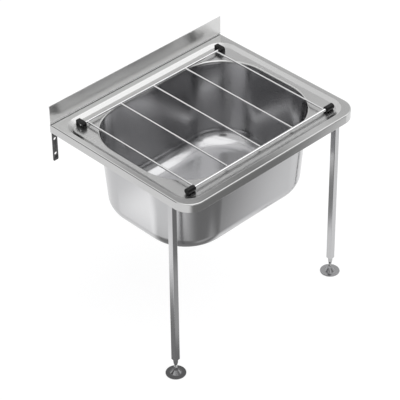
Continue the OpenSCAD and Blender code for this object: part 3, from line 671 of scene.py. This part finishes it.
cup_r, cup_h, cup_wall = 0.038, 0.028, 0.0034
cup_edge = 0.0006
tail_r, tail_l = 0.0239, 0.035
cup_in_r = hole_r + cup_wall / 2
cup_out_r = cup_in_r + cup_wall
cup_lip = cup_wall * 1.5
lip_low_z = cup_z - 2 * cup_lip
cup_low_z = cup_z - cup_h
tail_z = cup_low_z - tail_l
bore_r = tail_r - cup_wall
tail_pitch, tail_thread = 0.00231, 0.0013
cup = start_piece("waste_body_moulding")
outside = [(cup_in_r, cup_z), (cup_r - cup_edge, cup_z), (cup_r, cup_z - cup_edge),
           (cup_r, cup_z - cup_lip + cup_edge), (cup_r - cup_edge, cup_z - cup_lip),
           (cup_out_r + 0.001, lip_low_z + 0.0016), (cup_out_r, lip_low_z),
           (tail_r + 0.002, cup_low_z + 0.0015), (tail_r, cup_low_z - 0.0015)]
z = cup_low_z - 0.004
while z - tail_pitch > tail_z + 0.002:
    outside += [(tail_r, z), (tail_r - tail_thread, z - tail_pitch / 2)]
    z -= tail_pitch
outside += [(tail_r, z), (tail_r, tail_z + 0.001), (tail_r - 0.001, tail_z)]
inside = [(bore_r, tail_z), (bore_r, cup_low_z), (cup_in_r, lip_low_z), (cup_in_r, cup_z)]
turned(outside + inside, 0, opening_y, round_steps)
# boss for the screw, on three ribs
boss_z, boss_h, boss_r = cup_z - cup_h * 0.7, cup_h * 0.4, 0.0065
boss_top = boss_z + boss_h
turned([(screw_r, boss_z), (boss_r, boss_z), (boss_r, boss_top), (screw_r, boss_top), (screw_r, boss_z)],
       0, opening_y, fine_steps)
rib_count, rib_t, rib_l = 3, 0.003, 0.0205 - boss_r
block((boss_r + rib_l / 2, opening_y, boss_z + boss_h * 0.4), (rib_l, rib_t, boss_h * 0.8))
repeat_around(rib_count)
end_piece(40)
cup_plastic = moulded("waste_body", dark=0.10, pale=0.13, smooth=0.35, rough=0.5, peel=900)
hand_in(cup, ["waste_body"], "sink", cup_plastic)

head_z, head_r, head_h = strainer_top, 0.006, 0.0036
driver_slot = (0.014, 0.0014, 0.003)
waste_screw = start_piece("waste_screw_turned")
turned([(screw_r, boss_z), (screw_r, head_z), (head_r, head_z), (head_r, head_z + head_h * 0.35),
        (head_r * 0.93, head_z + head_h * 0.65), (head_r * 0.75, head_z + head_h * 0.88),
        (head_r * 0.4, head_z + head_h)], 0, opening_y, fine_steps, closed=False)
end_piece(35)
driver = start_piece("driver")
block((0, opening_y, head_z + head_h), driver_slot)
cut_away(waste_screw, driver)
screw_steel = steel("screw_steel", (0.50, 0.50, 0.50), smooth=0.12, rough=0.25, grain=(600, 600, 600),
                    cloud=60, bump=0.03)
hand_in(waste_screw, ["waste_screw"], "sink", screw_steel)

# Wall brackets. Two straps of 3 mm steel bar, bent over and welded under the rim at the wall, each with two
# holes for wall screws. They are left duller than the sheet.
hands = ((-1, "left"), (1, "right"))
bracket_w, bracket_t, bracket_l, bracket_depth = 0.016, 0.003, 0.114, 0.040
bracket_bend, bracket_corner, bracket_gap = 0.003, 0.003, 0.0006
bracket_x = side_x - 2 * sheet - bracket_gap - bracket_w / 2
bracket_top, bracket_end = rim_z - sheet, rim_z - bracket_l
strap_top = bracket_top - bracket_bend - bracket_t
bracket_foot = bracket_depth - bracket_bend - bracket_t
wall_hole_r, wall_hole_rises = 0.0045, (0.021, 0.066)
edge_break = 0.0003
strap_steel = steel("bracket_steel", (0.15, 0.15, 0.15), smooth=0.28, rough=0.42, grain=(500, 500, 60),
                    cloud=30, bump=0.08)


def is_corner(e):
    """Tells the edges where two faces meet at nearly a right angle."""
    return len(e.link_faces) == 2 and e.calc_face_angle(0) > 1.2


for side, hand in hands:
    bracket = start_piece(f"wall_bracket_{hand}_strap")
    block((side * bracket_x, wall_y - bracket_t / 2, (bracket_end + strap_top) / 2),
          (bracket_w, bracket_t, strap_top - bracket_end))
    pick("faces", lambda f: f.normal.z > 0.9)
    bpy.ops.mesh.spin(steps=8, angle=math.radians(-90), axis=(1, 0, 0),
                      center=(0, wall_y - bracket_t - bracket_bend, strap_top))
    bpy.ops.mesh.extrude_region_move(TRANSFORM_OT_translate={"value": (0, -bracket_foot, 0)})
    weld()
    pick("edges", lambda e: is_corner(e) and all(v.co.z < bracket_end + near for v in e.verts)
         and abs(e.verts[0].co.y - e.verts[1].co.y) > 0.002)
    round_off(bracket_corner, 5)
    pick("edges", is_corner)
    round_off(edge_break, 2)
    end_piece(30)
    drill = start_piece("drill")
    for rise in wall_hole_rises:
        hole_at = (side * bracket_x, wall_y - bracket_t / 2, bracket_end + rise)
        bpy.ops.mesh.primitive_cylinder_add(vertices=40, radius=wall_hole_r, depth=0.01,
                                            rotation=(math.pi / 2, 0, 0), location=hole_at)
    cut_away(bracket, drill)
    hand_in(bracket, [f"wall_bracket_{hand}"], "sink", strap_steel)

# Leg sockets. A plate with a square spigot under each front corner, welded to the recess floor and to the
# apron. The leg slips over the spigot and one button-head screw holds it from the inner side.
leg_w, leg_wall, leg_edge, fit = 0.016, 0.0015, 0.0015, 0.0001
leg_from_front = 0.069
leg_x, leg_y = side_x - 2 * sheet - fit - leg_w / 2, leg_from_front - wall_y
socket_t, socket_d, socket_tab = 0.002, 0.034, 0.020
leg_top, leg_end = recess_z - sheet - socket_t, 0.048
leg_inside = leg_w - 2 * leg_wall - fit
spigot_l, spigot_edge = 0.060, 0.0006
socket_in, socket_out = leg_x - leg_w / 2 - socket_tab, side_x - sheet
socket_steel = steel("socket_steel", (0.40, 0.40, 0.40), smooth=0.25, rough=0.38, grain=(500, 500, 500),
                     cloud=30, bump=0.06)
for side, hand in hands:
    socket = start_piece(f"leg_socket_{hand}_plate")
    block((side * (socket_in + socket_out) / 2, leg_y, leg_top + socket_t / 2),
          (socket_out - socket_in, socket_d, socket_t))
    pick("edges", lambda e: e.calc_length() > 0.0005)
    round_off(edge_break, 2)
    block((side * leg_x, leg_y, leg_top - spigot_l / 2), (leg_inside, leg_inside, spigot_l))
    pick("edges", lambda e: e.calc_length() > spigot_l - 0.001)
    round_off(spigot_edge, 2)
    end_piece(30)
    hand_in(socket, [f"leg_socket_{hand}"], "sink", socket_steel)

button_r, button_h, leg_screw_drop = 0.00525, 0.0033, 0.038


def lay(angle, axis, place):
    """Turns the selected points about an axis through the origin and carries them to their place."""
    bpy.ops.transform.rotate(value=math.radians(angle), orient_axis=axis, center_override=(0, 0, 0))
    bpy.ops.transform.translate(value=place)


leg_screws = start_piece("leg_screws_turned")
for side in (-1, 1):
    turned([(screw_r, 0.008), (screw_r, 0), (button_r - 0.0003, 0), (button_r, -0.0003),
            (button_r * 0.97, -button_h * 0.35), (button_r * 0.86, -button_h * 0.65),
            (button_r * 0.66, -button_h * 0.9), (button_r * 0.5, -button_h),
            (0.0021, -button_h), (0.0019, -button_h + 0.0016)], 0, 0, 36, closed=False)
    bpy.ops.mesh.select_linked()
    lay(-90 * side, "Y", (side * (leg_x - leg_w / 2), leg_y, leg_top - leg_screw_drop))
end_piece(35)
hand_in(leg_screws, ["leg_screws"], "sink", screw_steel)

# Legs. Square tube of 1.5 mm stainless steel, brushed along its length. A steel plug with a turned nose
# closes each leg and is tapped for the foot's stem.
collar_w, collar_t = leg_w - leg_edge, 0.0015
nose_drop, tip_drop = 0.0135, 0.018
nose_top, nose_low, tip_low = leg_end - collar_t, leg_end - nose_drop, leg_end - tip_drop
nose_r, nose_low_r, tip_r, tap_r = 0.0067, 0.0057, 0.0045, 0.00405
insert_l = 0.025
brushed = steel("leg_steel", (0.52, 0.52, 0.525), smooth=0.14, rough=0.26, grain=(1500, 1500, 12), cloud=8,
                bump=0.05)
plug_steel = steel("plug_steel", (0.46, 0.46, 0.46), smooth=0.16, rough=0.3, grain=(500, 500, 1500),
                   cloud=60, bump=0.05)
for side, hand in hands:
    leg = start_piece(f"leg_{hand}_tube")
    block((side * leg_x, leg_y, (leg_top + leg_end) / 2), (leg_w, leg_w, leg_top - leg_end))
    pick("edges", lambda e: e.calc_length() > 0.1)
    round_off(leg_edge, 6)
    pick("faces", lambda f: abs(f.normal.z) > 0.9)
    bpy.ops.mesh.inset(thickness=leg_wall, use_even_offset=True)
    bpy.ops.mesh.bridge_edge_loops()
    end_piece(40)
    hand_in(leg, [f"leg_{hand}"], "sink", brushed)

    plug = start_piece(f"leg_plug_{hand}_nose")
    block((side * leg_x, leg_y, leg_end - collar_t / 2), (collar_w, collar_w, collar_t))
    pick("edges", upright)
    round_off(leg_edge, 6)
    pick("edges", lambda e: is_corner(e) and abs(e.verts[0].co.z - e.verts[1].co.z) < near)
    round_off(edge_break, 2)
    turned([(tap_r, tip_low), (tip_r - 0.0003, tip_low), (tip_r, tip_low + 0.0003),
            (nose_low_r - 0.0002, nose_low - 0.0004), (nose_low_r, nose_low + 0.0004),
            (nose_r - 0.0001, nose_top - 0.0006), (nose_r, nose_top), (tap_r, nose_top), (tap_r, tip_low)],
           side * leg_x, leg_y, 48)
    block((side * leg_x, leg_y, leg_end + insert_l / 2), (leg_inside, leg_inside, insert_l))
    end_piece(30)
    hand_in(plug, [f"leg_plug_{hand}"], "sink", plug_steel)

# Feet. A threaded M8 stem turns in a pressed round foot and is held there by its riveted end. Turning it
# raises or lowers the corner.
stem_r, stem_pitch, stem_thread = 0.004, 0.00125, 0.00065
stem_low, stem_top = 0.0196, 0.0896
rivet_neck_r, rivet_r, rivet_top = 0.003, 0.005, 0.0015
root_r, thread_start, thread_stop = 0.0030, stem_low + 0.0008, stem_top - 0.0006
foot_r_out, foot_rim_r, foot_h, foot_hole_r, foot_pocket_r = 0.02675, 0.0015, 0.0195, 0.00305, 0.0052
hollow_at, knee_at, cone_bend_r = (0.0158, 0.0048), (0.0046, 0.0122), 0.0018
stem_steel = steel("stem_steel", (0.46, 0.46, 0.46), smooth=0.15, rough=0.28, grain=(900, 900, 900),
                   cloud=60, bump=0.03)
foot_steel = steel("foot_steel", (0.32, 0.32, 0.325), smooth=0.16, rough=0.30, grain=(700, 700, 700),
                   cloud=40, bump=0.05)


def threaded(name, z_low, z_high):
    """A length of thread about the Z axis, its ends cut square."""
    thread = start_piece(name)
    bpy.ops.mesh.primitive_circle_add(vertices=5, radius=0.001)
    bpy.ops.mesh.delete(type="EDGE_FACE")
    groove_r = stem_r - stem_thread
    # crest, flank, root and flank of one turn, each with its share of the pitch
    profile = [(stem_r, 0), (stem_r, 0.14), (groove_r, 0.48), (groove_r, 0.66), (stem_r, 1)]
    mesh = bmesh.from_edit_mesh(thread.data)
    for vert, (r, share) in zip(mesh.verts, profile):
        vert.co = (r, 0, z_low + (share - 2) * stem_pitch)
    for first, second in zip(list(mesh.verts), list(mesh.verts)[1:]):
        mesh.edges.new((first, second))
    bmesh.update_edit_mesh(thread.data)
    bpy.ops.object.mode_set(mode="OBJECT")
    bpy.ops.object.modifier_add(type="SCREW")
    winding = thread.modifiers[-1]
    winding.screw_offset = stem_pitch
    winding.iterations = math.ceil((z_high - z_low) / stem_pitch) + 3
    winding.steps = winding.render_steps = 20
    winding.use_merge_vertices = True
    bpy.ops.object.modifier_apply(modifier=winding.name)
    bpy.ops.object.mode_set(mode="EDIT")
    weld()
    for z, clear in ((z_low, "clear_inner"), (z_high, "clear_outer")):
        bpy.ops.mesh.select_all(action="SELECT")
        bpy.ops.mesh.bisect(plane_co=(0, 0, z), plane_no=(0, 0, 1), use_fill=True, **{clear: True})
    return thread


for side, hand in hands:
    stem = threaded(f"foot_stem_{hand}_thread", thread_start, thread_stop)
    bpy.ops.mesh.select_all(action="SELECT")
    bpy.ops.transform.translate(value=(side * leg_x, leg_y, 0))
    rivet = [(rivet_r - 0.0006, 0.0001), (rivet_r, 0.0005), (rivet_r, rivet_top - 0.0004),
             (rivet_r - 0.0004, rivet_top), (rivet_neck_r, rivet_top), (rivet_neck_r, stem_low)]
    shank = [(0.0034, stem_low), (0.0038, stem_low + 0.0005), (0.0038, thread_start), (root_r, thread_start)]
    point = [(root_r, thread_stop), (0.0037, thread_stop), (0.0033, stem_top)]
    for profile in (rivet + shank, point):
        turned(profile, side * leg_x, leg_y, fine_steps, closed=False)
    end_piece(30)
    hand_in(stem, [f"foot_stem_{hand}"], f"stem_{hand}", stem_steel)

    foot = start_piece(f"foot_{hand}_pressing")
    rim = bend(foot_r_out - foot_rim_r, foot_rim_r, foot_rim_r, -90, 90, 12)
    hollow = bend(*hollow_at, cone_bend_r, 270, 202, 6)
    knee = bend(*knee_at, cone_bend_r, 22, 10, 3)
    crown = bend(foot_pocket_r - 0.0006, foot_h - 0.0006, 0.0006, 10, 90, 4)
    bore = [(foot_hole_r + 0.0003, foot_h), (foot_hole_r, foot_h - 0.0003), (foot_hole_r, rivet_top + 0.0001)]
    pocket = [(foot_pocket_r, rivet_top + 0.0001), (foot_pocket_r, 0)]
    turned([(foot_pocket_r, 0)] + rim + hollow + knee + crown + bore + pocket, side * leg_x, leg_y, 80)
    end_piece(30)
    hand_in(foot, [f"foot_{hand}"], f"foot_{hand}", foot_steel)

# Hinge blocks. Moulded black plastic, screwed down through the recess floor from below with a peg to keep
# them from turning. The grate's rear rail turns in them.
rear_y, front_y = 0.191, -0.197
rail_rise = 0.0083
rail_z = recess_z + rail_rise
block_x, block_w, block_h, block_before, block_behind = 0.244, 0.012, 0.0165, 0.012, 0.017
block_front, block_back, block_top = rear_y - block_before, rear_y + block_behind, recess_z + block_h
nose_steps, nose_edge_r, back_edge_r, block_edge_r = 16, 0.007, 0.002, 0.0006
rail_bore_r, peg_r = 0.00255, 0.002
screw_behind, peg_before = 0.011, 0.008
screw_y, peg_y = rear_y + screw_behind, rear_y - peg_before
hinge_plastic = moulded("hinge_plastic", dark=0.003, pale=0.006, smooth=0.06, rough=0.12, peel=700)
for side, hand in hands:
    def on_cheek(v):
        return abs(abs(v.co.x - side * block_x) - block_w / 2) < near

    hinge = start_piece(f"hinge_block_{hand}_moulding")
    block((side * block_x, (block_front + block_back) / 2, recess_z + block_h / 2),
          (block_w, block_back - block_front, block_h))
    pick("edges", lambda e: all(v.co.z > block_top - near and v.co.y < block_front + near for v in e.verts))
    round_off(nose_edge_r, nose_steps)
    pick("edges", lambda e: all(v.co.z > block_top - near and v.co.y > block_back - near for v in e.verts))
    round_off(back_edge_r, 6)
    pick("edges", lambda e: is_corner(e) and all(on_cheek(v) for v in e.verts)
         and abs(e.verts[0].co.x - e.verts[1].co.x) < near
         and any(v.co.z > recess_z + 10 * near for v in e.verts))
    round_off(block_edge_r, 3)
    bpy.ops.mesh.primitive_cylinder_add(vertices=32, radius=peg_r, depth=2 * sheet,
                                        location=(side * block_x, peg_y, recess_z))
    end_piece(30)
    reamer = start_piece("reamer")
    bore_at = (side * block_x, rear_y, rail_z)
    bpy.ops.mesh.primitive_cylinder_add(vertices=40, radius=rail_bore_r, depth=0.02,
                                        rotation=(0, math.pi / 2, 0), location=bore_at)
    cut_away(hinge, reamer)
    hand_in(hinge, [f"hinge_block_{hand}"], "sink", hinge_plastic)

washer_t, washer_r, washer_hole_r = 0.001, 0.005, 0.0022
washer_z = recess_z - sheet - washer_t
washers = start_piece("hinge_washers_stamped")
for side in (-1, 1):
    turned([(washer_hole_r, washer_z), (washer_r - 0.0002, washer_z), (washer_r, washer_z + 0.0002),
            (washer_r, washer_z + washer_t), (washer_hole_r, washer_z + washer_t), (washer_hole_r, washer_z)],
           side * block_x, screw_y, 40)
end_piece(35)
hand_in(washers, ["hinge_washers"], "sink", screw_steel)

pan_r, pan_h, shank_r, shank_l = 0.004, 0.0028, 0.002, 0.010
pan_z, shank_top = washer_z - pan_h, washer_z + washer_t + sheet + shank_l
hinge_screws = start_piece("hinge_screws_turned")
pan = [(0.0011, pan_z + 0.0016), (0.0013, pan_z), (pan_r * 0.6, pan_z),
       (pan_r * 0.85, washer_z - pan_h * 0.86), (pan_r * 0.97, washer_z - pan_h * 0.55),
       (pan_r, washer_z - pan_h * 0.2), (pan_r, washer_z)]
shank = [(shank_r, washer_z), (shank_r, shank_top - 0.001), (shank_r / 2, shank_top)]
for side in (-1, 1):
    turned(pan + shank, side * block_x, screw_y, fine_steps, closed=False)
end_piece(35)
cross_l, cross_w, cross_h = 0.0044, 0.0009, 0.0024
for cross_size in ((cross_l, cross_w, cross_h), (cross_w, cross_l, cross_h)):
    driver = start_piece("driver")
    for side in (-1, 1):
        block((side * block_x, screw_y, pan_z), cross_size)
    cut_away(hinge_screws, driver)
hand_in(hinge_screws, ["hinge_screws"], "sink", screw_steel)

# Grate. Two round rails and five thinner bars of bright stainless rod, welded where they meet and
# electropolished. The rear rail is turned down at its ends to run in the hinge blocks.
rear_r, journal_r, shoulder_x, rear_end_x = 0.003, 0.0025, 0.2377, 0.250
front_r, front_end_x = 0.004, 0.254
bar_r, bead, bar_sink, bar_count, bar_pitch = 0.0025, 0.0011, 0.0006, 5, 0.114
rod_edge = 0.0004
rod_steel = steel("grate_steel", (0.72, 0.72, 0.72), smooth=0.05, rough=0.09, grain=(60, 60, 60), cloud=20,
                  bump=0.02)


def rod(name, points, y, axis, x=0):
    """A rod turned about X or Y from radii and places along it."""
    piece = start_piece(name)
    turned(points, 0, 0, fine_steps, closed=False)
    bpy.ops.mesh.select_all(action="SELECT")
    lay(90, axis, (x, y, rail_z))
    end_piece(30)
    return piece


journal = [(journal_r - rod_edge, -rear_end_x), (journal_r, -rear_end_x + rod_edge), (journal_r, -shoulder_x),
           (rear_r - 0.0002, -shoulder_x), (rear_r, -shoulder_x + 0.0002)]
rear_rail = rod("grate_rear_rail_rod", journal + [(r, -x) for r, x in reversed(journal)], rear_y, "Y")
hand_in(rear_rail, ["grate_rear_rail"], "grate", rod_steel)
front_rail = rod("grate_front_rail_rod", [
    (front_r - rod_edge, -front_end_x), (front_r, -front_end_x + rod_edge),
    (front_r, front_end_x - rod_edge), (front_r - rod_edge, front_end_x)], front_y, "Y")
hand_in(front_rail, ["grate_front_rail"], "grate", rod_steel)
# the bars reach a little way into the rails, and their welds stand out as a flare
half_span = (rear_y - front_y) / 2
front_face, rear_face = -half_span + front_r - bar_sink, half_span - rear_r + bar_sink
front_flare = [(bar_r + bead, 0), (bar_r + bead, 0.0004), (bar_r + 0.45 * bead, 0.0010),
               (bar_r + 0.12 * bead, 0.0017), (bar_r, 0.0025)]
rear_flare = [(bar_r, 0.0025), (bar_r + 0.12 * bead, 0.0017), (bar_r + 0.4 * bead, 0.0010),
              (bar_r + 0.4 * bead, 0)]
for number in range(bar_count):
    bar = rod(f"grate_bar_{number + 1}_rod",
              [(r, front_face + in_from) for r, in_from in front_flare]
              + [(r, rear_face - in_from) for r, in_from in rear_flare],
              (rear_y + front_y) / 2, "X", bar_pitch * (number - bar_count // 2))
    hand_in(bar, [f"grate_bar_{number + 1}"], "grate", rod_steel)

# Sleeves. Black rubber caps on the ends of the front rail. They carry the grate on the recess floor and meet
# the wall when it is folded up.
sleeve_r, sleeve_l, sleeve_end, sleeve_edge = 0.008, 0.026, 0.003, 0.0015
sleeve_out_x = 0.257
sleeve_bore_r = front_r + 0.00005
sleeve_rubber = moulded("sleeve_rubber", dark=0.004, pale=0.008, smooth=0.10, rough=0.18, peel=900)
for side, hand in hands:
    sleeve = start_piece(f"sleeve_{hand}_moulding")
    far, low = sleeve_l / 2, -sleeve_l / 2
    closed_end = [(r, far - z) for r, z in bend(sleeve_r - sleeve_edge, sleeve_edge, sleeve_edge, -90, 0, 8)]
    open_end = [(r, low + z) for r, z in bend(sleeve_r - sleeve_edge, sleeve_edge, sleeve_edge, 0, -90, 8)]
    mouth = [(front_r + 0.0006, low), (sleeve_bore_r, low + 0.0006), (sleeve_bore_r, far - sleeve_end)]
    turned(closed_end + open_end + mouth, 0, 0, 48, closed=False)
    bpy.ops.mesh.select_all(action="SELECT")
    lay(-90 * side, "Y", (side * (sleeve_out_x - sleeve_l / 2), front_y, rail_z))
    end_piece(40)
    hand_in(sleeve, [f"sleeve_{hand}"], "grate", sleeve_rubber)
